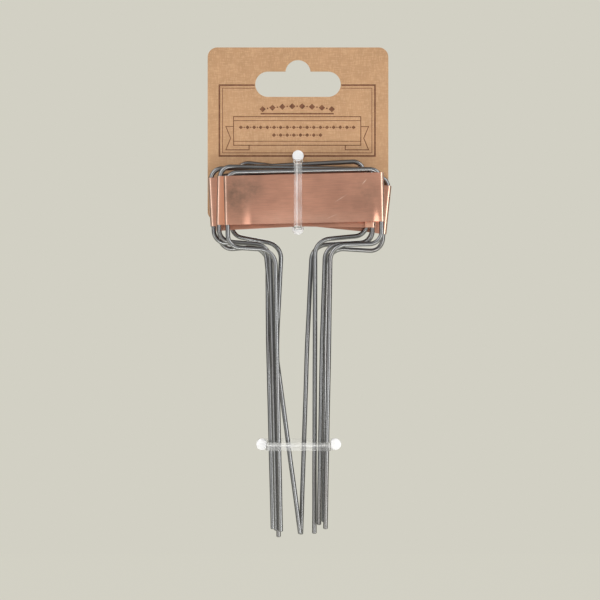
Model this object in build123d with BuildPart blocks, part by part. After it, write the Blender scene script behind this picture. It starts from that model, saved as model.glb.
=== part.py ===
from build123d import *
import os
from math import atan2, cos, radians, sin, tan
from typing import NamedTuple

# A bundle of bent-wire plant label stakes, tied to a hang card.
# Millimetres. The origin is where a peg bears, at the top of the card's hang slot.
# X points right, Y back and Z up, so the stakes' legs point down.

# Wire of a stake, measured along the wire's middle
wire_diameter = 1.7
head_width = 56.6
head_height = 27.5
leg_spacing = 19.0
leg_length = 105.0
top_bend = 4.0
shoulder_bend = 4.5
hip_bend = 6.0
knee_drop = 35.0
knee_bend = 250.0
tip_chamfer = 0.25

# Label, a sheet folded round both uprights of the wire
label_thickness = 0.3
label_height = 18.0
label_lip = 2.8
label_fit = 0.05
label_headroom = 0.5

# Card
card_width = 67.6
card_thickness = 0.7
card_corner = 3.6
card_tail = 0.8
hang_edge = 4.7
notch_diameter = 9.4
notch_rise = 4.3
slot_width = 32.0
slot_height = 9.5

# Bundle and its two ties
stack_gap = 0.15
bundle_room = 0.4
top_room = 0.5
strap_width = 3.0
strap_thickness = 0.5
strap_gap = 0.2
strap_slack = 1.9
strap_bend = 1.0
strap_fit = 0.05
card_hole_room = 0.3
button_diameter = 4.3
button_thickness = 1.4
button_round = 0.45
button_flat = 0.45
slot_wall = 0.7
prong_diameter = 1.4
prong_fit = 0.05
prong_chamfer = 0.2
lower_tie_rise = 31.0


class Leg(NamedTuple):
    """How one leg was bent: how far its hip stands out and sags, its lean inward, how far its knee bows out,
    and its spare length."""

    out: float
    sag: float
    lean: float
    bow: float
    spare: float


class Stake(NamedTuple):
    """How one stake lies in the bundle: its top bar's middle, its tilt, and how its label sits on it."""

    shift: float
    bar: float
    tilt: float
    label_drop: float
    label_faces_front: bool
    left: Leg
    right: Leg


# The stakes, from the front one to the one against the card
stakes = [
    Stake(2.0, -42.2, 1.3, 0.0, True, Leg(1.5, 1.5, -0.2, 0.1, -1.4), Leg(-0.2, 0.1, 2.3, 0.1, -0.5)),
    Stake(-0.4, -41.0, -1.0, 2.2, False, Leg(-0.1, 1.2, 2.3, -0.1, 0.5), Leg(1.5, 0.4, 0.3, -0.4, -1.2)),
    Stake(-4.1, -39.8, 3.0, 1.9, True, Leg(0.1, 0.9, 3.9, 0.9, 3.6), Leg(-0.6, 0.8, 3.1, 0.1, 3.8)),
    Stake(-2.0, -42.2, 3.0, 1.0, True, Leg(1.3, -0.5, -1.9, 0.4, 0.3), Leg(-3.7, 0.1, 5.2, -0.4, 2.6)),
    Stake(5.9, -41.3, -6.0, 1.6, True, Leg(-0.5, 1.6, 5.4, 1.4, 4.0), Leg(-1.4, 0.9, -5.2, -0.4, -2.7)),
]
LEFT = -1
RIGHT = 1

# Each stake fills one layer of the bundle, the last of them just in front of the card
wire_radius = wire_diameter / 2
label_mid = wire_radius + label_fit + label_thickness / 2
half_layer = wire_radius + label_fit + label_thickness
layer_pitch = 2 * half_layer + stack_gap
rear_layer = -card_thickness / 2 - stack_gap - half_layer
layers = [rear_layer - layer_pitch * behind for behind in reversed(range(len(stakes)))]


def stake_plane(stake, layer):
    """The plane of a stake's wire, seen from the front, with its origin at the top bar's middle."""
    across = (cos(radians(stake.tilt)), 0, sin(radians(stake.tilt)))
    return Plane(origin=(stake.shift, layer, stake.bar), x_dir=across, z_dir=(0, -1, 0))


def label_bottom(stake):
    """Height of the label's lower edge in the stake's own plane."""
    return -(wire_radius + label_headroom + stake.label_drop + label_height)


def height_at_middle(stake, own_height):
    """Height, where the card's middle line crosses it, of a level line in the stake's own plane."""
    tilt = radians(stake.tilt)
    return stake.bar - stake.shift * tan(tilt) + own_height / cos(tilt)


def leg_points(stake, side):
    """A leg's hip, knee and tip in the stake's own plane."""
    leg = stake.left if side == LEFT else stake.right
    lean = radians(leg.lean)
    length = leg_length + leg.spare
    hip_x = side * (leg_spacing / 2 + leg.out)
    hip_y = -head_height - leg.sag
    knee_x = hip_x + side * (leg.bow * cos(lean) - knee_drop * sin(lean))
    knee_y = hip_y - leg.bow * sin(lean) - knee_drop * cos(lean)
    tip = (hip_x - side * sin(lean) * length, hip_y - cos(lean) * length, 0)
    return (hip_x, hip_y, 0), (knee_x, knee_y, 0), tip


def leg_edge(stake, layer, side, height):
    """Sideways place of a leg's outer edge at a height of the pack, below its knee."""
    plane = stake_plane(stake, layer)
    hip, knee, tip = (plane.from_local_coords(point) for point in leg_points(stake, side))
    lean = atan2(tip.X - knee.X, knee.Z - tip.Z)
    return knee.X + (knee.Z - height) * tan(lean) + side * wire_radius / cos(lean)


os.makedirs("parts", exist_ok=True)

for number, (stake, layer) in enumerate(zip(stakes, layers), 1):
    left_hip, left_knee, left_tip = leg_points(stake, LEFT)
    right_hip, right_knee, right_tip = leg_points(stake, RIGHT)
    leg_bends = [knee_bend, hip_bend]
    head_bends = [shoulder_bend, top_bend, top_bend, shoulder_bend]

    with BuildPart() as wire:
        with BuildLine(stake_plane(stake, layer)) as route:
            FilletPolyline(
                left_tip,
                left_knee,
                left_hip,
                (-head_width / 2, -head_height),
                (-head_width / 2, 0),
                (head_width / 2, 0),
                (head_width / 2, -head_height),
                right_hip,
                right_knee,
                right_tip,
                radius=[*leg_bends, *head_bends, *reversed(leg_bends)],
            )
        with BuildSketch(Plane(origin=route.line @ 0, z_dir=route.line % 0)):
            Circle(wire_radius)
        sweep()
        chamfer(wire.faces().filter_by(GeomType.PLANE).edges(), tip_chamfer)
    wire.part.label = f"stake_{number}_wire"
    export_step(wire.part, f"parts/{wire.part.label}.step")

    upright = head_width / 2
    facing = 1 if stake.label_faces_front else -1
    sheet = -facing * label_mid
    lip = facing * label_mid
    wire_plane = stake_plane(stake, layer)
    foot = wire_plane.from_local_coords((0, label_bottom(stake), 0))
    with BuildPart() as label:
        with BuildSketch(Plane(origin=foot, x_dir=wire_plane.x_dir, z_dir=wire_plane.y_dir)):
            with BuildLine():
                Line((-upright + label_lip, lip), (-upright, lip))
                ThreePointArc((-upright, lip), (-upright - label_mid, 0), (-upright, sheet))
                Line((-upright, sheet), (upright, sheet))
                ThreePointArc((upright, sheet), (upright + label_mid, 0), (upright, lip))
                Line((upright, lip), (upright - label_lip, lip))
            trace(line_width=label_thickness)
        extrude(amount=label_height)
    label.part.label = f"stake_{number}_label"
    export_step(label.part, f"parts/{label.part.label}.step")

# Where the ties go: the upper one round the heads and the card, the lower one round the legs
heads_top = max(height_at_middle(stake, wire_radius) for stake in stakes)
labels_foot = min(height_at_middle(stake, label_bottom(stake)) for stake in stakes)
highest_layer = max(zip(stakes, layers), key=lambda pair: height_at_middle(pair[0], wire_radius))[1]
front_bar_top = height_at_middle(stakes[0], wire_radius)
top_strap = heads_top + top_room + strap_thickness / 2
bottom_strap = labels_foot - bundle_room - strap_thickness / 2
button_reach = strap_thickness / 2 + strap_fit + button_diameter / 2 - button_flat
top_button = top_strap + button_reach
card_front = -card_thickness / 2
card_back = card_thickness / 2
card_foot = bottom_strap + button_diameter / 2 + card_tail

tie_height = stakes[0].bar - head_height - leg_length + lower_tie_rise
legs_left = min(leg_edge(stake, layer, LEFT, tie_height) for stake, layer in zip(stakes, layers))
legs_right = max(leg_edge(stake, layer, RIGHT, tie_height) for stake, layer in zip(stakes, layers))
strap_reach = strap_gap + strap_thickness / 2
left_strap = legs_left - strap_reach
right_strap = legs_right + strap_reach
legs_front = layers[0] - wire_radius
legs_back = layers[-1] + wire_radius + strap_gap
slot_across = strap_width + 2 * strap_fit
slot_along = strap_thickness + 2 * strap_fit

with BuildPart() as card:
    with BuildSketch(Plane.XZ):
        with Locations((0, (hang_edge + card_foot) / 2)):
            RectangleRounded(card_width, hang_edge - card_foot, card_corner)
        with Locations((0, -notch_rise - slot_height / 2)):
            SlotOverall(slot_width, slot_height, mode=Mode.SUBTRACT)
        with Locations((0, -notch_diameter / 2)):
            Circle(notch_diameter / 2, mode=Mode.SUBTRACT)
        with Locations((0, top_button)):
            Circle(prong_diameter / 2 + card_hole_room, mode=Mode.SUBTRACT)
        with Locations((0, top_strap)):
            Rectangle(
                strap_width + 2 * card_hole_room,
                strap_thickness + 2 * card_hole_room,
                mode=Mode.SUBTRACT,
            )
    extrude(amount=card_thickness / 2, both=True)
card.part.label = "hang_card"
export_step(card.part, "parts/hang_card.step")


class End(NamedTuple):
    """One end of a tie: its strap's and its button's place along the tie, and its button's back depth."""

    name: str
    strap: float
    button: float
    seat: float


class Tie(NamedTuple):
    """A tie: its section plane, its back strap's front depth, its front strap's route and its two ends."""

    name: str
    plane: Plane
    back: float
    route: tuple
    ends: tuple


upper_front = layers[0] - half_layer - strap_reach
upper_rear = card_back + strap_thickness
upper_shoulder = highest_layer - wire_radius - strap_gap
lower_front = legs_front - strap_reach
lower_rear = legs_back + strap_thickness

ties = [
    Tie(
        name="upper_tie",
        plane=Plane(origin=(0, 0, 0), x_dir=(0, 0, 1), z_dir=(-1, 0, 0)),
        back=card_back,
        route=(
            (top_strap, upper_rear),
            (top_strap, upper_shoulder),
            (front_bar_top + strap_slack, upper_front),
            (bottom_strap, upper_front),
            (bottom_strap, upper_rear),
        ),
        ends=(
            End("top", top_strap, top_button, card_front),
            End("bottom", bottom_strap, bottom_strap, card_back),
        ),
    ),
    Tie(
        name="lower_tie",
        plane=Plane.XY.offset(tie_height),
        back=legs_back,
        route=(
            (left_strap, lower_rear),
            (left_strap, lower_front),
            (right_strap, lower_front),
            (right_strap, lower_rear),
        ),
        ends=(
            End("left", left_strap, left_strap - button_reach, legs_back),
            End("right", right_strap, right_strap + button_reach, legs_back),
        ),
    ),
]


def facing_back(tie, along, depth):
    """The plane at a place along the tie and a depth: x across the tie, y along it, normal to the back."""
    origin = tie.plane.from_local_coords((along, depth, 0))
    return Plane(origin=origin, x_dir=tie.plane.z_dir, z_dir=(0, 1, 0))


for tie in ties:
    first, last = tie.ends
    rear_face = tie.back + strap_thickness

    with BuildPart() as front_strap:
        with BuildSketch(tie.plane):
            with BuildLine():
                FilletPolyline(*tie.route, radius=strap_bend)
            trace(line_width=strap_thickness)
        extrude(amount=strap_width / 2, both=True)
    front_strap.part.label = f"{tie.name}_front_strap"
    export_step(front_strap.part, f"parts/{front_strap.part.label}.step")

    middle = (first.button + last.button) / 2
    span = abs(last.button - first.button)
    with BuildPart() as back_strap:
        with BuildSketch(facing_back(tie, middle, tie.back)):
            SlotCenterToCenter(span, strap_width + 2 * slot_wall, rotation=90)
            for end in tie.ends:
                with Locations((0, end.button - middle)):
                    Circle(prong_diameter / 2 + prong_fit, mode=Mode.SUBTRACT)
                with Locations((0, end.strap - middle)):
                    Rectangle(slot_across, slot_along, mode=Mode.SUBTRACT)
        extrude(amount=strap_thickness)
    back_strap.part.label = f"{tie.name}_back_strap"
    export_step(back_strap.part, f"parts/{back_strap.part.label}.step")

    for end in tie.ends:
        with BuildPart() as button:
            with BuildSketch(facing_back(tie, end.button, end.seat - button_thickness)):
                Circle(button_diameter / 2)
            extrude(amount=button_thickness)
            fillet(button.edges().group_by(Axis.Y)[0], button_round)
            with BuildSketch(facing_back(tie, end.button, end.seat)):
                Circle(prong_diameter / 2)
            extrude(amount=rear_face - end.seat)
            chamfer(button.edges().group_by(Axis.Y)[-1], prong_chamfer)
            with BuildSketch(facing_back(tie, end.strap, end.seat - button_thickness)):
                Rectangle(slot_across, slot_along)
            extrude(amount=rear_face - end.seat + button_thickness, mode=Mode.SUBTRACT)
        button.part.label = f"{tie.name}_{end.name}_button"
        export_step(button.part, f"parts/{button.part.label}.step")
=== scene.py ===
import math
from typing import NamedTuple

import bpy
from mathutils import Matrix, Vector, noise


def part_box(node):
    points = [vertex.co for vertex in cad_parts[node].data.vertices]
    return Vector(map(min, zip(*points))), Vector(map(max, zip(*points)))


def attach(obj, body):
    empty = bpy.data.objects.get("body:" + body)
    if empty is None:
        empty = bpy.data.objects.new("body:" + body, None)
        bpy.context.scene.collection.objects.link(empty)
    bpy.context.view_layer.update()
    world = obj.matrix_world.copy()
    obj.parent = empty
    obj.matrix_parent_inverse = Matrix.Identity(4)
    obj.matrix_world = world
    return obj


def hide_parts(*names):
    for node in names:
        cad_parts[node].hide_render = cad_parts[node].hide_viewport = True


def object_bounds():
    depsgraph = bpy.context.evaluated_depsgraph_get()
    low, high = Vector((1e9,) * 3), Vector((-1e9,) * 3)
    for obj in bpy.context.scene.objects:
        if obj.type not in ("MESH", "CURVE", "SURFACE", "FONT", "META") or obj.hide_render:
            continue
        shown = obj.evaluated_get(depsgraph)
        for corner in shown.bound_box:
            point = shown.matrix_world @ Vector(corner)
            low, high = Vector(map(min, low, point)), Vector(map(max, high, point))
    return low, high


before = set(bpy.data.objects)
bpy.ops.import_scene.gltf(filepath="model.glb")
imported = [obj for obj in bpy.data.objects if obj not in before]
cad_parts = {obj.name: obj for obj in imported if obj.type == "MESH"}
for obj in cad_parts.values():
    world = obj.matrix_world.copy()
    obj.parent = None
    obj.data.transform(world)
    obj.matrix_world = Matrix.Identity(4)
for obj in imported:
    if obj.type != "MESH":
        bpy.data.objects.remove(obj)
cad_low, cad_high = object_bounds()

# A bundle of bent-wire plant label stakes, tied to a hang card.
# Sizes are in millimetres, as in the part's source, and meshes are written in metres.
MM = 0.001

# Wire of a stake
wire_radius = 0.85
head_width = 56.6
head_height = 27.5
leg_spacing = 19.0
leg_length = 105.0
top_bend = 4.0
shoulder_bend = 4.5
hip_bend = 6.0
knee_drop = 35.0
knee_bend = 250.0
tip_chamfer = 0.25
wire_sides = 24
wire_step = 0.8
wire_waver = 0.05
wire_waver_length = 14.0
wire_waver_seed = 40.0
wire_crease = 35

# Label of a stake
label_thickness = 0.3
label_height = 18.0
label_lip = 2.8
label_headroom = 0.5
label_room = 0.05
label_mid = wire_radius + label_room + label_thickness / 2
fold_half = math.pi * label_mid / 2
fold_middle = head_width / 2 + fold_half
sheet_middle = label_lip + fold_half + fold_middle
label_rows = 30
sheet_columns = 90
fold_columns = 14
lip_columns = 4
fold_fade = 3.0
label_crease = 40
# Painted highlight along the fold rolls: its share, and its reach inside and outside the fold
fold_highlight_share = 0.6
fold_highlight_inside = 0.5
fold_highlight_outside = 0.2
# Painted reflection on the lips: its share, and the soft reach of its edge
lip_share = 0.8
lip_fade = 0.2

# Straps of the two ties
strap_width = 3.0
strap_thickness = 0.5
strap_gap = 0.2
strap_slack = 1.9
strap_bend = 1.0
rib_height = 0.3
rib_peak = -0.1
rib_gentle = 0.85
rib_steep = 0.45
rib_fade = 1.2
strap_step = 0.3
strap_edge_steps = 8
strap_face_steps = 24
strap_crease = 40

# Arcs of a path: the fewest steps, and the most that one step turns, in radians
arc_steps = 2
arc_turn = 0.16


class Leg(NamedTuple):
    """How one leg was bent: its hip's place, its lean inward, its knee's bow and its spare length."""

    out: float
    sag: float
    lean: float
    bow: float
    spare: float


class Stake(NamedTuple):
    """How one stake lies in the bundle, and how its label sits on it."""

    shift: float
    bar: float
    tilt: float
    label_drop: float
    label_faces_front: bool
    left: Leg
    right: Leg


# The stakes, from the front one to the one against the card
stakes = [
    Stake(2.0, -42.2, 1.3, 0.0, True, Leg(1.5, 1.5, -0.2, 0.1, -1.4), Leg(-0.2, 0.1, 2.3, 0.1, -0.5)),
    Stake(-0.4, -41.0, -1.0, 2.2, False, Leg(-0.1, 1.2, 2.3, -0.1, 0.5), Leg(1.5, 0.4, 0.3, -0.4, -1.2)),
    Stake(-4.1, -39.8, 3.0, 1.9, True, Leg(0.1, 0.9, 3.9, 0.9, 3.6), Leg(-0.6, 0.8, 3.1, 0.1, 3.8)),
    Stake(-2.0, -42.2, 3.0, 1.0, True, Leg(1.3, -0.5, -1.9, 0.4, 0.3), Leg(-3.7, 0.1, 5.2, -0.4, 2.6)),
    Stake(5.9, -41.3, -6.0, 1.6, True, Leg(-0.5, 1.6, 5.4, 1.4, 4.0), Leg(-1.4, 0.9, -5.2, -0.4, -2.7)),
]


class Dent(NamedTuple):
    """A soft dent in a label: its place from the label's middle and foot, its reach to the left,
    to the right and up, and its depth."""

    across: float
    up: float
    left: float
    right: float
    height: float
    out: float


# Dents of each label, where out is away from the stake's wire
dents = [
    [
        Dent(-18.8, -2.0, 2.9, 8.0, 9.5, 1.2),
        Dent(-12.0, 9.0, 7.0, 7.0, 14.0, -0.25),
        Dent(0.0, 9.0, 9.0, 9.0, 12.0, -0.35),
        Dent(12.0, 11.0, 8.0, 8.0, 9.0, 0.12),
        Dent(24.8, -1.0, 6.0, 2.6, 5.0, 0.9),
        Dent(20.0, 10.0, 5.0, 5.0, 9.0, -0.2),
    ],
    [Dent(0.0, 9.0, 20.0, 20.0, 14.0, 0.3), Dent(18.0, 2.0, 6.0, 6.0, 6.0, -0.2)],
    [Dent(-14.0, 4.0, 8.0, 8.0, 8.0, -0.3), Dent(10.0, 12.0, 9.0, 9.0, 9.0, 0.2)],
    [Dent(-18.0, 1.0, 7.0, 7.0, 6.0, 0.25), Dent(8.0, 9.0, 14.0, 14.0, 12.0, -0.3)],
    [Dent(20.0, 3.0, 6.0, 6.0, 8.0, 0.25), Dent(-8.0, 9.0, 14.0, 14.0, 12.0, -0.3)],
]


class Mark(NamedTuple):
    """A lighter or darker mark on a label, for scratches, darker patches and painted light: its place as a
    dent's, its half sizes, its turn and its lightness.
    """

    across: float
    up: float
    width: float
    height: float
    turn: float
    light: float


# Marks of the front label: darker patches, scratches, and a painted lighter band over its lower part; and a
# painted highlight on the lip of the turned one
label_marks = {
    1: [
        # Darker patches at the sheet's left and right
        Mark(-25.0, 11.0, 8.0, 13.0, 0.0, -0.9),
        Mark(-18.5, 13.5, 6.0, 8.0, 0.1, -0.7),
        Mark(24.0, 10.0, 10.0, 12.0, 0.0, -0.4),
        Mark(22.3, 14.7, 1.8, 0.24, 0.85, 1.0),
        Mark(13.5, 8.8, 3.6, 0.22, 0.55, 0.7),
        Mark(10.0, 2.2, 3.0, 0.22, 0.4, 0.6),
        # Painted light: a broad lighter band over the sheet's lower part, where it catches more light
        Mark(2.0, 0.0, 34.0, 7.0, 0.0, 0.15),
    ],
    # Painted highlight on the turned label's lip, which lifts it out of the shade of the stakes in front
    2: [Mark(33.0, 1.0, 6.0, 9.0, 0.0, 0.3)],
}


# Mesh helpers
def new_object(name, vertices, faces, uvs=None):
    """A smooth mesh object from vertices in millimetres, with one pair of texture coordinates a vertex."""
    mesh = bpy.data.meshes.new(name)
    mesh.from_pydata([Vector(v) * MM for v in vertices], [], faces)
    if uvs:
        layer = mesh.uv_layers.new(name="sheet")
        for loop in mesh.loops:
            layer.data[loop.index].uv = uvs[loop.vertex_index]
    mesh.polygons.foreach_set("use_smooth", [True] * len(mesh.polygons))
    mesh.update()
    made = bpy.data.objects.new(name, mesh)
    bpy.context.scene.collection.objects.link(made)
    return made


def smooth_by_angle(piece, degrees):
    """Keeps edges sharper than the angle crisp."""
    piece.data.set_sharp_from_angle(angle=math.radians(degrees))


def rounded_path(points, radii, step):
    """Points along straight runs joined by arcs, no further apart than the step."""
    corners = [Vector(p) for p in points]
    path = [corners[0]]

    def run_to(end):
        start = path[-1]
        count = max(1, math.ceil((end - start).length / step))
        path.extend(start.lerp(end, (i + 1) / count) for i in range(count))

    for before, corner, after, radius in zip(corners, corners[1:], corners[2:], radii):
        towards = (before - corner).normalized()
        onward = (after - corner).normalized()
        half = towards.angle(onward) / 2
        reach = radius / math.tan(half)
        centre = corner + (towards + onward).normalized() * (radius / math.sin(half))
        run_to(corner + towards * reach)
        start = path[-1] - centre
        turn = math.pi - 2 * half
        if start.x * towards.y - start.y * towards.x > 0:
            turn = -turn
        count = max(arc_steps, math.ceil(abs(turn) * radius / step), math.ceil(abs(turn) / arc_turn))
        for i in range(1, count + 1):
            angle = turn * i / count
            c, s = math.cos(angle), math.sin(angle)
            path.append(centre + Vector((start.x * c - start.y * s, start.x * s + start.y * c)))
    run_to(corners[-1])
    return path


def sweep(path, side, sections):
    """Vertices, faces and texture coordinates of closed sections along a path, one for each of its points.
    A section's first number is along the fixed side direction, and its second across it and the path."""
    vertices, faces, uvs = [], [], []
    ring = len(sections[0])
    length = 0.0
    for i, point in enumerate(path):
        ahead = path[min(i + 1, len(path) - 1)]
        behind = path[max(i - 1, 0)]
        across = (ahead - behind).normalized().cross(side)
        if i:
            length += (point - path[i - 1]).length
        for j, (a, b) in enumerate(sections[i]):
            vertices.append(point + side * a + across * b)
            uvs.append((length, j / ring))
    for i in range(len(path) - 1):
        for j in range(ring):
            k = (j + 1) % ring
            faces.append((i * ring + j, i * ring + k, (i + 1) * ring + k, (i + 1) * ring + j))
    faces.append(tuple(reversed(range(ring))))
    faces.append(tuple(range((len(path) - 1) * ring, len(path) * ring)))
    return vertices, faces, uvs


def circle(radius, sides):
    """Points round a circle."""
    turns = [2 * math.pi * i / sides for i in range(sides)]
    return [(radius * math.cos(turn), radius * math.sin(turn)) for turn in turns]


# Materials
class Nodes:
    """A node tree, and short ways to add nodes to it."""

    def __init__(self, tree):
        self.tree = tree

    def node(self, kind, inputs=None, **settings):
        """A new node with its settings, and its inputs linked or set."""
        made = self.tree.nodes.new(kind)
        for key, value in settings.items():
            setattr(made, key, value)
        for key, value in (inputs or {}).items():
            self.put(made.inputs[key], value)
        return made

    def put(self, socket, value):
        """Links another node's output to a socket, or sets the socket to a constant."""
        if isinstance(value, bpy.types.NodeSocket):
            self.tree.links.new(value, socket)
        else:
            socket.default_value = value

    def ramp(self, value, *stops):
        """A colour ramp with (position, colour) stops."""
        made = self.node("ShaderNodeValToRGB", {"Fac": value})
        elements = made.color_ramp.elements
        while len(elements) < len(stops):
            elements.new(0.5)
        for element, (position, colour) in zip(elements, stops):
            element.position = position
            element.color = (*colour, 1.0)
        return made.outputs["Color"]

    def span(self, value, low, high, from_low=0.3, from_high=0.7):
        """A value's range taken to another, and held at its ends."""
        made = self.node("ShaderNodeMapRange", {"Value": value, "To Min": low, "To Max": high})
        made.inputs["From Min"].default_value = from_low
        made.inputs["From Max"].default_value = from_high
        return made.outputs["Result"]

    def math(self, operation, first, second=0.0):
        """A number worked out from one or two others."""
        made = self.node("ShaderNodeMath", {0: first, 1: second}, operation=operation)
        return made.outputs[0]


class Graph(Nodes):
    """A node material and its shader."""

    def __init__(self, name):
        self.material = bpy.data.materials.new(name)
        self.material.use_nodes = True
        super().__init__(self.material.node_tree)
        self.shader = self.tree.nodes["Principled BSDF"]

    def set(self, **values):
        """Sets the shader's own sockets, with _ for a space in a socket's name."""
        for key, value in values.items():
            self.put(self.shader.inputs[key.replace("_", " ")], value)

    def sheet(self, scale, turn=0.0, shift=(0.0, 0.0, 0.0)):
        """Texture coordinates of the piece's own sheet, in millimetres times the scale."""
        uv = self.node("ShaderNodeUVMap", uv_map="sheet")
        inputs = {"Vector": uv.outputs["UV"], "Scale": scale, "Rotation": (0, 0, turn), "Location": shift}
        return self.node("ShaderNodeMapping", inputs).outputs["Vector"]

    def spot(self, mark):
        """A soft spot on the sheet, 1 at a mark's middle and 0 beyond its half sizes."""
        uv = self.node("ShaderNodeUVMap", uv_map="sheet")
        inputs = {
            "Vector": uv.outputs["UV"],
            "Location": (sheet_middle + mark.across, mark.up, 0.0),
            "Rotation": (0.0, 0.0, mark.turn),
            "Scale": (mark.width, mark.height, 1.0),
        }
        near = self.node("ShaderNodeMapping", inputs, vector_type="TEXTURE").outputs["Vector"]
        away = self.node("ShaderNodeVectorMath", {0: near}, operation="LENGTH").outputs["Value"]
        soft = self.node("ShaderNodeMapRange", {"Value": away, "From Min": 1.0, "From Max": 0.0},
                         interpolation_type="SMOOTHSTEP")
        return soft.outputs["Result"]

    def place(self, scale):
        """Texture coordinates of the piece's own space, in metres times the scale."""
        space = self.node("ShaderNodeTexCoord")
        inputs = {"Vector": space.outputs["Object"], "Scale": scale}
        return self.node("ShaderNodeMapping", inputs).outputs["Vector"]

    def noise(self, vector, detail=3.0, rough=0.55):
        """Soft noise at texture coordinates that are scaled already."""
        inputs = {"Vector": vector, "Scale": 1.0, "Detail": detail, "Roughness": rough}
        return self.node("ShaderNodeTexNoise", inputs).outputs["Fac"]

    def mix(self, share, first, second):
        """The first colour, and the second by the share of it."""
        made = self.node("ShaderNodeMix", {"Factor": share, 6: first, 7: second}, data_type="RGBA")
        return made.outputs[2]

    def bump(self, height, strength, depth):
        """A normal from a height, where depth is the relief in millimetres."""
        inputs = {"Height": height, "Strength": strength, "Distance": depth * MM}
        self.set(Normal=self.node("ShaderNodeBump", inputs).outputs["Normal"])


# Tones that the materials mix in
dull_steel = (0.17, 0.174, 0.178, 1)
brown_tarnish = (0.19, 0.116, 0.075, 1)
dark_grain = (0.36, 0.20, 0.146, 1)
scored_copper = (0.92, 0.60, 0.45, 1)
# Bright copper for scratches, and for painted highlights on the folds and on some marks
scratch_and_highlight_copper = (0.98, 0.75, 0.60, 1)
# Saturated orange of the painted reflection of copper in copper, on the lips
copper_reflection_orange = (0.93, 0.43, 0.26, 1)
darker_copper = (0.28, 0.18, 0.128, 1)
pale_fibre = (0.60, 0.385, 0.225, 1)
cut_board = (0.70, 0.52, 0.34, 1)


def steel_wire(name, start):
    """Drawn steel wire: faint lines along it, duller patches, and a little brown tarnish."""
    g = Graph(name)
    lines = g.noise(g.sheet((0.04, 6.0, 1.0), shift=(start, 0, 0)), 1.0)
    patches = g.noise(g.sheet((0.04, 0.8, 1.0), shift=(start, 3, 0)), 2.0)
    stain = g.noise(g.sheet((0.022, 0.8, 1.0), shift=(start, 7, 0)), 2.0)
    steel = g.ramp(lines, (0.3, (0.272, 0.276, 0.28)), (0.7, (0.32, 0.323, 0.326)))
    dull = g.mix(g.span(patches, 0.0, 0.4, 0.45, 0.7), steel, dull_steel)
    g.set(
        Base_Color=g.mix(g.span(stain, 0.0, 0.2, 0.48, 0.66), dull, brown_tarnish),
        Metallic=1.0,
        Roughness=g.span(patches, 0.25, 0.3),
    )
    g.bump(lines, 0.008, 0.02)
    return g.material


def copper(name, start, marks):
    """Satin copper sheet: tarnish, rolled grain, scratches, painted highlights along the folds, a painted
    orange reflection on the lips, and its own marks.
    """
    g = Graph(name)
    cloud = g.noise(g.sheet((0.055, 0.075, 1.0), shift=(start, 0, 0)), 5.0, 0.6)
    grain = g.noise(g.sheet((0.16, 2.6, 1.0), shift=(start, 5, 0)), 4.0, 0.65)
    scratch = g.noise(g.sheet((0.10, 3.2, 1.0), 0.62, (start, 9, 0)), 2.0)
    cross = g.noise(g.sheet((0.07, 4.0, 1.0), -0.35, (start, 2, 0)), 2.0)
    both = g.math("MAXIMUM", g.span(scratch, 0.0, 1.0, 0.69, 0.74), g.span(cross, 0.0, 1.0, 0.70, 0.75))
    scored = g.math("MULTIPLY", both, g.span(cloud, 0.1, 0.5, 0.4, 0.65))
    sheet = g.ramp(
        cloud,
        (0.3, (0.64, 0.325, 0.225)),
        (0.52, (0.725, 0.367, 0.253)),
        (0.75, (0.775, 0.40, 0.28)),
    )
    brushed = g.mix(g.span(grain, 0.0, 0.24, 0.40, 0.68), sheet, dark_grain)
    colour = g.mix(scored, brushed, scored_copper)
    across = g.node("ShaderNodeSeparateXYZ", {"Vector": g.sheet((1.0, 1.0, 1.0))}).outputs["X"]
    off_middle = g.math("ABSOLUTE", g.math("SUBTRACT", across, sheet_middle))
    off_fold = g.math("ABSOLUTE", g.math("SUBTRACT", off_middle, fold_middle))
    # Painted highlight: brighter copper along the fold rolls, standing in for the light they catch
    fold_highlight = g.span(off_fold, fold_highlight_share, 0.0, fold_half - fold_highlight_inside, fold_half + fold_highlight_outside)
    colour = g.mix(fold_highlight, colour, scratch_and_highlight_copper)
    # Painted reflection: the lips are washed with the saturated orange of copper reflected in copper
    # between the folded sheets
    lip_start = fold_middle + fold_half
    lip = g.span(off_middle, 0.0, lip_share, lip_start - lip_fade, lip_start + lip_fade)
    colour = g.mix(lip, colour, copper_reflection_orange)
    blotch = g.noise(g.sheet((0.35, 0.35, 1.0), shift=(start, 4, 0)), 4.0, 0.65)
    # Each mark mixes in lighter or darker copper: scratches, darker patches, and painted light where the
    # list above says so
    for mark in marks:
        share = g.math("MULTIPLY", g.spot(mark), g.span(blotch, 0.5, 1.1, 0.35, 0.65))
        tone = scratch_and_highlight_copper if mark.light > 0 else darker_copper
        colour = g.mix(g.math("MULTIPLY", share, abs(mark.light)), colour, tone)
    g.set(Base_Color=colour, Metallic=1.0, Roughness=g.span(cloud, 0.28, 0.38))
    g.bump(g.math("ADD", grain, scored), 0.12, 0.02)
    return g.material


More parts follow.
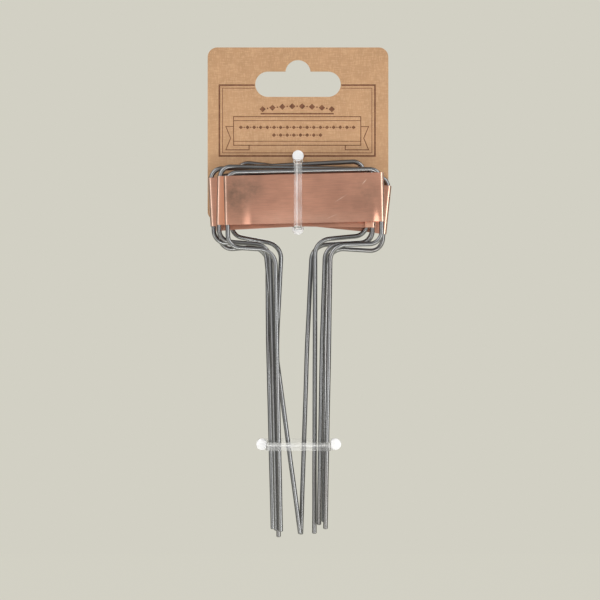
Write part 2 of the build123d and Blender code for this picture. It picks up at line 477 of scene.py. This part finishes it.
def kraft_card():
    """Brown kraft board: mottled pulp with short fibres, paler on its cut edges, and painted lighter
    towards its foot to offset the shade the stakes cast above the bars.
    """
    g = Graph("kraft_board")
    mottle = g.noise(g.place((160.0, 160.0, 160.0)), 5.0, 0.6)
    fibre = g.noise(g.place((420.0, 900.0, 2600.0)), 3.0)
    cross_fibre = g.noise(g.place((2400.0, 900.0, 500.0)), 3.0)
    pulp = g.math("MULTIPLY", fibre, cross_fibre)
    height = g.node("ShaderNodeSeparateXYZ", {"Vector": g.place((1.0, 1.0, 1.0))}).outputs["Z"]
    # Painted light: the board grows paler towards its foot, offsetting the shade that the bundle casts on
    # the card just above the bars.
    tone = g.math("ADD", mottle, g.span(height, -0.2, 0.2, 0.005, -0.045))
    board = g.ramp(tone, (0.1, (0.395, 0.23, 0.121)), (0.9, (0.535, 0.317, 0.174)))
    flecked = g.mix(g.span(pulp, 0.0, 0.5, 0.22, 0.36), board, pale_fibre)
    normal = g.node("ShaderNodeNewGeometry").outputs["Normal"]
    facing = g.node("ShaderNodeSeparateXYZ", {"Vector": normal}).outputs["Y"]
    edge = g.span(g.math("ABSOLUTE", facing), 1.0, 0.0, 0.2, 0.6)
    g.set(
        Base_Color=g.mix(edge, flecked, cut_board),
        Roughness=g.span(mottle, 0.78, 0.9),
        Specular_IOR_Level=0.25,
    )
    g.bump(pulp, 0.3, 0.05)
    return g.material


def ink():
    """Brown printing ink, a little uneven where the board's fibres show."""
    g = Graph("brown_ink")
    worn = g.noise(g.place((900.0, 900.0, 900.0)), 4.0)
    g.set(
        Base_Color=g.ramp(worn, (0.35, (0.135, 0.055, 0.031)), (0.75, (0.245, 0.115, 0.061))),
        Roughness=g.span(worn, 0.7, 0.85),
        Specular_IOR_Level=0.2,
    )
    return g.material


def clear_plastic(ribbed):
    """Clear soft plastic, slightly milky, with faint ripples; where ribbed, a milkier band along the rib's
    flank paints the rib's highlight.
    """
    g = Graph("ribbed_clear_strap" if ribbed else "clear_strap")
    ripple = g.noise(g.place((260.0, 260.0, 260.0)), 3.0)
    clear = g.span(ripple, 0.95, 0.88)
    if ribbed:
        # Painted highlight: a milkier band along the rib's gentle flank stands in for the light the rib
        # catches
        around = g.node("ShaderNodeSeparateXYZ", {"Vector": g.sheet((1.0, 1.0, 1.0))}).outputs["Y"]
        rising = g.span(around, 0.0, 1.0, 0.51, 0.57)
        falling = g.span(around, 1.0, 0.0, 0.62, 0.70)
        rib = g.math("MULTIPLY", g.math("MULTIPLY", rising, falling), g.span(ripple, 0.2, 0.32))
        clear = g.math("SUBTRACT", clear, rib)
    g.set(
        Base_Color=g.ramp(ripple, (0.3, (0.93, 0.93, 0.92)), (0.7, (0.98, 0.98, 0.975))),
        Roughness=g.span(ripple, 0.06, 0.14),
        IOR=1.46,
        Transmission_Weight=clear,
    )
    g.bump(ripple, 0.10, 0.03)
    return g.material


def white_plastic():
    """Smooth white moulded plastic."""
    g = Graph("white_button")
    skin = g.noise(g.place((1500.0, 1500.0, 1500.0)), 2.0)
    g.set(
        Base_Color=g.ramp(skin, (0.3, (0.97, 0.97, 0.97)), (0.7, (0.99, 0.99, 0.99))),
        Roughness=g.span(skin, 0.35, 0.45),
    )
    g.bump(skin, 0.1, 0.01)
    return g.material


# Stakes
def stake_matrix(stake, layer):
    """Takes a point of the stake's own plane, seen from the front, to the pack."""
    tilt = math.radians(stake.tilt)
    across = Vector((math.cos(tilt), 0, math.sin(tilt)))
    up = Vector((-math.sin(tilt), 0, math.cos(tilt)))
    back = Vector((0, 1, 0))
    origin = Vector((stake.shift, layer, stake.bar))
    return Matrix([[across[i], back[i], up[i], origin[i]] for i in range(3)] + [[0, 0, 0, 1]])


def layer_of(number):
    """Depth of a stake's own plane."""
    low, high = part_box(f"stake_{number}_wire")
    return (low.y + high.y) / 2 / MM


def leg_points(leg, side):
    """A leg's hip, knee and tip in the stake's own plane."""
    lean = math.radians(leg.lean)
    length = leg_length + leg.spare
    hip = Vector((side * (leg_spacing / 2 + leg.out), -head_height - leg.sag))
    along = Vector((-side * math.sin(lean), -math.cos(lean)))
    outward = Vector((side * math.cos(lean), -math.sin(lean)))
    return [hip, hip + along * knee_drop + outward * leg.bow, hip + along * length]


def make_wire(number, stake):
    """One stake's wire, hardly wavering from its bends, with cut and chamfered tips."""
    half = head_width / 2
    head = [(-half, -head_height), (-half, 0), (half, 0), (half, -head_height)]
    points = [*reversed(leg_points(stake.left, -1)), *head, *leg_points(stake.right, 1)]
    leg_bends = [knee_bend, hip_bend]
    bends = [*leg_bends, shoulder_bend, top_bend, top_bend, shoulder_bend, *reversed(leg_bends)]
    flat = rounded_path(points, bends, wire_step)
    flat = [flat[0], flat[0].lerp(flat[1], tip_chamfer / wire_step), *flat[1:-1],
            flat[-1].lerp(flat[-2], tip_chamfer / wire_step), flat[-1]]
    sections = [circle(wire_radius, wire_sides)] * len(flat)
    sections[0] = sections[-1] = circle(wire_radius - tip_chamfer, wire_sides)
    to_pack = stake_matrix(stake, layer_of(number))
    path = []
    for point in flat:
        seed = Vector((point.x, point.y, wire_waver_seed * number)) / wire_waver_length
        waver = noise.noise_vector(seed) * wire_waver
        path.append(to_pack @ Vector((point.x + waver.x, waver.y, point.y)))
    vertices, faces, uvs = sweep(path, Vector((0, -1, 0)), sections)
    seamless = [(along, abs(2 * around - 1)) for along, around in uvs]
    wire = new_object(f"bent_wire_{number}", vertices, faces, seamless)
    smooth_by_angle(wire, wire_crease)
    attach(wire, f"stake_{number}")
    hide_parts(f"stake_{number}_wire")
    return wire


def label_profile():
    """The folded sheet's middle line seen from above: place, and outward direction, from lip to lip."""
    half = head_width / 2
    profile = []
    for i in range(lip_columns):
        profile.append((-half + label_lip * (1 - i / lip_columns), label_mid, 0.0, 1.0))
    for i in range(fold_columns):
        turn = math.pi * i / fold_columns
        c, s = math.cos(turn), math.sin(turn)
        profile.append((-half - label_mid * s, label_mid * c, -s, c))
    for i in range(sheet_columns + 1):
        profile.append((-half + head_width * i / sheet_columns, -label_mid, 0.0, -1.0))
    mirrored = [(-x, y, -nx, ny) for x, y, nx, ny in reversed(profile[: lip_columns + fold_columns])]
    return profile + mirrored


def dented(label_dents, across, up):
    """How far the sheet is pushed out at a place on it, none at its folds."""
    fade = min(1.0, max(0.0, (head_width / 2 - abs(across)) / fold_fade))
    fade *= fade * (3 - 2 * fade)
    total = 0.0
    for dent in label_dents:
        width = dent.left if across < dent.across else dent.right
        sideways = (across - dent.across) / width
        upward = (up - dent.up) / dent.height
        total += dent.out * math.exp(-sideways ** 2 - upward ** 2)
    return total * fade


def make_label(number, stake, label_dents):
    """One stake's label: a sheet folded round both uprights, with its real thickness and its dents."""
    profile = label_profile()
    to_pack = stake_matrix(stake, layer_of(number))
    foot = -(wire_radius + label_headroom + stake.label_drop + label_height)
    facing = 1 if stake.label_faces_front else -1
    columns = len(profile)
    vertices, faces, uvs = [], [], []
    for skin in (0.5, -0.5):
        for row in range(label_rows + 1):
            up = label_height * row / label_rows
            along = 0.0
            for i, (x, y, nx, ny) in enumerate(profile):
                if i:
                    along += math.hypot(x - profile[i - 1][0], y - profile[i - 1][1])
                push = skin * label_thickness
                if ny == -1.0:
                    push += dented(label_dents, x, up)
                vertices.append(to_pack @ Vector((x + nx * push, facing * (y + ny * push), foot + up)))
                uvs.append((along, up))
    sheet_size = (label_rows + 1) * columns
    for row in range(label_rows):
        for i in range(columns - 1):
            a = row * columns + i
            quad = (a, a + columns, a + columns + 1, a + 1)
            faces.append(quad)
            faces.append(tuple(sheet_size + v for v in reversed(quad)))
    rim = list(range(columns))
    rim += [row * columns + columns - 1 for row in range(1, label_rows + 1)]
    rim += [label_rows * columns + i for i in range(columns - 2, -1, -1)]
    rim += [row * columns for row in range(label_rows - 1, 0, -1)]
    for a, b in zip(rim, rim[1:] + rim[:1]):
        faces.append((a, b, sheet_size + b, sheet_size + a))
    if facing < 0:
        faces = [tuple(reversed(face)) for face in faces]
    label = new_object(f"folded_label_{number}", vertices, faces, uvs)
    smooth_by_angle(label, label_crease)
    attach(label, f"label_{number}")
    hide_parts(f"stake_{number}_label")
    return label


# Card print, in millimetres from the card's own middle line, where heights are of the pack
print_middle = -0.3
print_lift = 0.02
frame_half = 29.1
frame_top = -9.4
frame_foot = -35.9
frame_rule = 0.6
inner_gap = 1.15
inner_rule = 0.24
slot_left = -15.85
slot_right = 16.5
under_half = 13.7
under_height = -20.1
under_rule = 0.52
banner_half = 23.8
banner_top = -21.2
banner_foot = -31.9
banner_rule = 0.32
banner_band = 1.5
tail_reach = 2.9
tail_notch = 1.1
tail_top = -24.9
tail_foot = -33.6
tab_width = 5.8
dot_radius = 0.32
dot_sides = 12
mitre_limit = 0.35
arch_count = 7
arch_pitch = 1.85
arch_top = -17.3
arch_drop = 1.1
arch_lozenge = (1.2, 1.15)
row_pitch = 1.24
row_lozenge = (0.8, 0.72)
row_dot_share = 0.85
row_heights_and_counts = ((-25.2, 17), (-28.1, 7))


def ruled(points, width, closed=False):
    """A flat printed line through points, mitred at its corners, as outline pairs."""
    corners = [Vector(p) for p in points]
    count = len(corners)
    pairs = []
    for i, corner in enumerate(corners):
        before = corners[i - 1] if i or closed else None
        after = corners[(i + 1) % count] if i < count - 1 or closed else None
        ins = (corner - before).normalized() if before is not None else (after - corner).normalized()
        outs = (after - corner).normalized() if after is not None else ins
        normal = (Vector((-ins.y, ins.x)) + Vector((-outs.y, outs.x))).normalized()
        reach = width / 2 / max(mitre_limit, normal.dot(Vector((-ins.y, ins.x))))
        pairs.append((corner + normal * reach, corner - normal * reach))
    return pairs


class Print:
    """Printed shapes gathered into one thin mesh on the card's front."""

    def __init__(self, front):
        self.front = front
        self.vertices = []
        self.faces = []

    def outline(self, points):
        """One filled shape, a thin closed slab, with its points counter-clockwise seen from the front."""
        start = len(self.vertices)
        count = len(points)
        for depth in (self.front - print_lift, self.front):
            self.vertices.extend((x + print_middle, depth, z) for x, z in points)
        self.faces.append(tuple(range(start, start + count)))
        self.faces.append(tuple(reversed(range(start + count, start + 2 * count))))
        for i in range(count):
            j = (i + 1) % count
            self.faces.append((start + i, start + count + i, start + count + j, start + j))

    def line(self, points, width, closed=False):
        """A ruled line, one shape for each of its runs."""
        pairs = ruled(points, width, closed)
        ring = pairs + pairs[:1] if closed else pairs
        for (a, b), (c, d) in zip(ring, ring[1:]):
            self.outline([a, b, d, c])

    def dot(self, x, z, radius):
        """A round dot."""
        self.outline([(x + a, z + b) for a, b in circle(radius, dot_sides)])

    def lozenge(self, x, z, wide, high):
        """A lozenge of a half width and a half height."""
        self.outline([(x - wide, z), (x, z - high), (x + wide, z), (x, z + high)])


def make_print():
    """Plain ruled frame, a bare ribbon banner and rows of lozenges and dots."""
    card_low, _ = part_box("hang_card")
    page = Print(card_low.y / MM)
    for inset, rule in ((0.0, frame_rule), (inner_gap, inner_rule)):
        half = frame_half - inset
        top = frame_top - inset
        foot = frame_foot + inset
        sides = [(-half, top), (-half, foot), (half, foot), (half, top)]
        page.line([(slot_left, top), *sides, (slot_right, top)], rule)
    page.line([(-under_half, under_height), (under_half, under_height)], under_rule)
    left_edge = [(-banner_half, banner_top), (-banner_half, banner_foot)]
    right_edge = [(banner_half, banner_foot), (banner_half, banner_top)]
    page.line([*left_edge, *right_edge], banner_rule, closed=True)
    for height in (banner_top - banner_band, banner_foot + banner_band):
        page.line([(-banner_half, height), (banner_half, height)], inner_rule)
    for side in (-1, 1):
        edge = side * banner_half
        end = side * (banner_half + tail_reach)
        notch = side * (banner_half + tail_notch)
        tab = side * (banner_half - tab_width)
        middle = (tail_top + tail_foot) / 2
        ribbon_end = [(edge, tail_top), (end, tail_top), (notch, middle), (end, tail_foot)]
        page.line([*ribbon_end, (tab, tail_foot), (tab, banner_foot)], banner_rule)
    for i in range(-arch_count, arch_count + 1):
        x = i * arch_pitch
        z = arch_top - arch_drop * (i / arch_count) ** 2
        if i % 2:
            page.lozenge(x, z, *arch_lozenge)
        else:
            page.dot(x, z, dot_radius)
    for height, count in row_heights_and_counts:
        for i in range(-count, count + 1):
            if i % 2:
                page.lozenge(i * row_pitch, height, *row_lozenge)
            else:
                page.dot(i * row_pitch, height, dot_radius * row_dot_share)
    made = new_object("card_print", page.vertices, page.faces)
    made.data.polygons.foreach_set("use_smooth", [False] * len(made.data.polygons))
    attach(made, "hang_card")
    return made


# Ties
def strap_section(rib):
    """A flat strap's section: rounded edges, and a low rib along its front, steeper on one side."""
    half = strap_width / 2
    thin = strap_thickness / 2
    points = []
    for i in range(strap_edge_steps + 1):
        turn = math.pi * (i / strap_edge_steps - 0.5)
        points.append((half - thin + thin * math.cos(turn), thin * math.sin(turn)))
    for i in range(1, strap_face_steps):
        across = (half - thin) * (1 - 2 * i / strap_face_steps)
        reach = rib_steep if across > rib_peak else rib_gentle
        rise = max(0.0, 1 - abs(across - rib_peak) / reach)
        points.append((across, thin + rib * rise * rise * (3 - 2 * rise)))
    for i in range(strap_edge_steps + 1):
        turn = math.pi * (i / strap_edge_steps + 0.5)
        points.append((-half + thin + thin * math.cos(turn), thin * math.sin(turn)))
    return points


def middle_of(node):
    """Middle of a node's box."""
    low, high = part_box(node)
    return (low + high) / 2 / MM


def make_strap(tie, corners, to_pack, side):
    """A front strap along its corners, ribbed across the front, with its ends in the back strap's slots."""
    flat = rounded_path(corners, [strap_bend] * (len(corners) - 2), strap_step)
    path = [to_pack @ Vector((p.x, p.y, 0)) for p in flat]
    front = min(point.y for point in path)
    shares = [max(0.0, 1 - (point.y - front) / rib_fade) for point in path]
    vertices, faces, uvs = sweep(path, side, [strap_section(rib_height * share) for share in shares])
    strap = new_object(f"{tie}_clear_strap", vertices, faces, uvs)
    smooth_by_angle(strap, strap_crease)
    strap.visible_shadow = False
    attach(strap, f"{tie}_front")
    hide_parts(f"{tie}_front_strap")
    return strap


def strap_limits(tie):
    """A front strap's middle line: its lowest and highest place each way, and its rear end."""
    inset = Vector((strap_thickness, strap_thickness, strap_thickness)) / 2
    low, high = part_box(f"{tie}_front_strap")
    return low / MM + inset, high / MM - inset, high.y / MM


def bar_top(stake):
    """Height of a stake's top bar where the card's middle line crosses it."""
    tilt = math.radians(stake.tilt)
    return stake.bar - stake.shift * math.tan(tilt) + wire_radius / math.cos(tilt)


def make_upper_strap():
    """The strap down over the bars and the labels, which leans back from the front bar to the highest."""
    low, high, rear = strap_limits("upper_tie")
    highest = max(stakes, key=bar_top)
    shoulder = layer_of(stakes.index(highest) + 1) - wire_radius - strap_gap
    corners = [
        (low.z, rear),
        (low.z, low.y),
        (bar_top(stakes[0]) + strap_slack, low.y),
        (high.z, shoulder),
        (high.z, rear),
    ]
    to_pack = Matrix(((0, 0, 1, 0), (0, 1, 0, 0), (1, 0, 0, 0), (0, 0, 0, 1)))
    return make_strap("upper_tie", corners, to_pack, Vector((1, 0, 0)))


def make_lower_strap():
    """The strap across the legs."""
    low, high, rear = strap_limits("lower_tie")
    corners = [(low.x, rear), (low.x, low.y), (high.x, low.y), (high.x, rear)]
    to_pack = Matrix.Translation((0, 0, middle_of("lower_tie_front_strap").z))
    return make_strap("lower_tie", corners, to_pack, Vector((0, 0, -1)))


# Everything, with its materials
wire_seed = 31.0
sheet_seed = 17.0


def paint(piece, material):
    """Gives a piece its one material."""
    piece.data.materials.clear()
    piece.data.materials.append(material)


for number, stake in enumerate(stakes, 1):
    wire = make_wire(number, stake)
    paint(wire, steel_wire(f"steel_wire_{number}", wire_seed * number))
    label = make_label(number, stake, dents[number - 1])
    marks = label_marks.get(number, [])
    paint(label, copper(f"copper_sheet_{number}", sheet_seed * number, marks))

paint(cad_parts["hang_card"], kraft_card())
paint(make_print(), ink())
ribbed = clear_plastic(True)
paint(make_upper_strap(), ribbed)
paint(make_lower_strap(), ribbed)
clear = clear_plastic(False)
white = white_plastic()
for node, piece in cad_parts.items():
    if node.endswith("_back_strap"):
        paint(piece, clear)
        piece.visible_shadow = False
    if node.endswith("_button"):
        paint(piece, white)

# Stage, in metres: a pale floor well below the hanging pack, soft light all round, and the camera
backdrop = (0.645, 0.631, 0.552)
floor_drop = 0.55
floor_size = 8.0
floor_glow = 1.066
floor_glow_share = 0.92
view_distance = 0.700
view_across = 0.00075
view_height = -0.0898
view_width = 0.2246
sensor_width = 36.0
room_stops = (
    (0.0, (0.50, 0.50, 0.50)),
    (0.14, (0.50, 0.50, 0.50)),
    (0.32, (0.18, 0.172, 0.165)),
    (0.50, (0.06, 0.054, 0.048)),
    (0.70, (0.12, 0.113, 0.107)),
)
behind_start = 0.70
behind_full = 0.86


class Softbox(NamedTuple):
    """A soft lamp aimed at the pack: its name, place, width and height, and its power in watts."""

    name: str
    place: tuple
    width: float
    height: float
    power: float


softboxes = [
    Softbox("left_softbox", (-0.74, -0.88, -0.12), 0.5, 0.6, 1.2),
    Softbox("right_softbox", (0.74, -0.88, -0.12), 0.6, 0.6, 3.3),
    Softbox("upper_left_softbox", (-0.80, -0.62, 0.62), 0.8, 0.8, 5.1),
    Softbox("upper_right_softbox", (0.80, -0.62, 0.62), 0.8, 0.8, 5.1),
    Softbox("low_softbox", (0.0, -0.66, -0.55), 0.9, 0.22, 2.8),
    Softbox("back_softbox", (0.0, 0.90, 0.70), 1.2, 0.6, 6.0),
]


def make_floor():
    """A floor that is seen as the backdrop's plain colour, and still takes a shadow."""
    half = floor_size / 2
    height = cad_low.z - floor_drop
    mesh = bpy.data.meshes.new("floor")
    corners = ((-half, -half), (half, -half), (half, half), (-half, half))
    mesh.from_pydata([(x, y, height) for x, y in corners], [], [(0, 1, 2, 3)])
    floor = bpy.data.objects.new("floor", mesh)
    bpy.context.scene.collection.objects.link(floor)
    g = Graph("pale_floor")
    g.set(Base_Color=(*backdrop, 1), Roughness=0.9)
    path = g.node("ShaderNodeLightPath").outputs
    seen = g.math("MAXIMUM", path["Is Camera Ray"], path["Is Glossy Ray"])
    seen = g.math("MAXIMUM", seen, path["Is Transmission Ray"])
    plain = g.node("ShaderNodeEmission", {"Color": (*backdrop, 1), "Strength": floor_glow})
    share = g.math("MULTIPLY", seen, floor_glow_share)
    shaders = {1: g.shader.outputs["BSDF"], 2: plain.outputs["Emission"]}
    both = g.node("ShaderNodeMixShader", {"Fac": share, **shaders})
    g.put(g.tree.nodes["Material Output"].inputs["Surface"], both.outputs["Shader"])
    paint(floor, g.material)


def make_world():
    """Pale backdrop as seen and behind the pack, and a studio with brown flags at its sides."""
    world = bpy.data.worlds.new("studio")
    bpy.context.scene.world = world
    world.use_nodes = True
    world.node_tree.nodes.clear()
    g = Nodes(world.node_tree)
    space = g.node("ShaderNodeTexCoord")
    parts = g.node("ShaderNodeSeparateXYZ", {"Vector": space.outputs["Generated"]}).outputs
    depth = g.span(parts["Y"], 0.0, 1.0, -1.0, 1.0)
    around = g.node("ShaderNodeBackground", {"Color": g.ramp(depth, *room_stops)})
    plain = g.node("ShaderNodeBackground", {"Color": (*backdrop, 1)})
    behind = g.span(depth, 0.0, 1.0, behind_start, behind_full)
    camera_ray = g.node("ShaderNodeLightPath").outputs["Is Camera Ray"]
    seen = g.math("MAXIMUM", camera_ray, behind)
    shaders = {1: around.outputs["Background"], 2: plain.outputs["Background"]}
    both = g.node("ShaderNodeMixShader", {"Fac": seen, **shaders})
    g.node("ShaderNodeOutputWorld", {"Surface": both.outputs["Shader"]})


def make_softbox(box):
    """One soft lamp, not seen itself by the camera or through the straps."""
    light = bpy.data.lights.new(box.name, "AREA")
    light.shape = "RECTANGLE"
    light.size = box.width
    light.size_y = box.height
    light.energy = box.power
    lamp = bpy.data.objects.new(box.name, light)
    lamp.location = box.place
    aim = (cad_low + cad_high) / 2 - Vector(box.place)
    lamp.rotation_euler = aim.to_track_quat("-Z", "Y").to_euler()
    lamp.visible_camera = False
    lamp.visible_transmission = False
    bpy.context.scene.collection.objects.link(lamp)


def make_camera():
    """The camera, level and straight in front."""
    data = bpy.data.cameras.new("camera")
    data.sensor_width = sensor_width
    data.lens = sensor_width * view_distance / view_width
    camera = bpy.data.objects.new("camera", data)
    camera.location = (view_across, -view_distance, view_height)
    camera.rotation_euler = (math.pi / 2, 0, 0)
    bpy.context.scene.collection.objects.link(camera)
    bpy.context.scene.camera = camera


make_floor()
make_world()
for box in softboxes:
    make_softbox(box)
make_camera()
bpy.context.scene.view_settings.view_transform = "Standard"
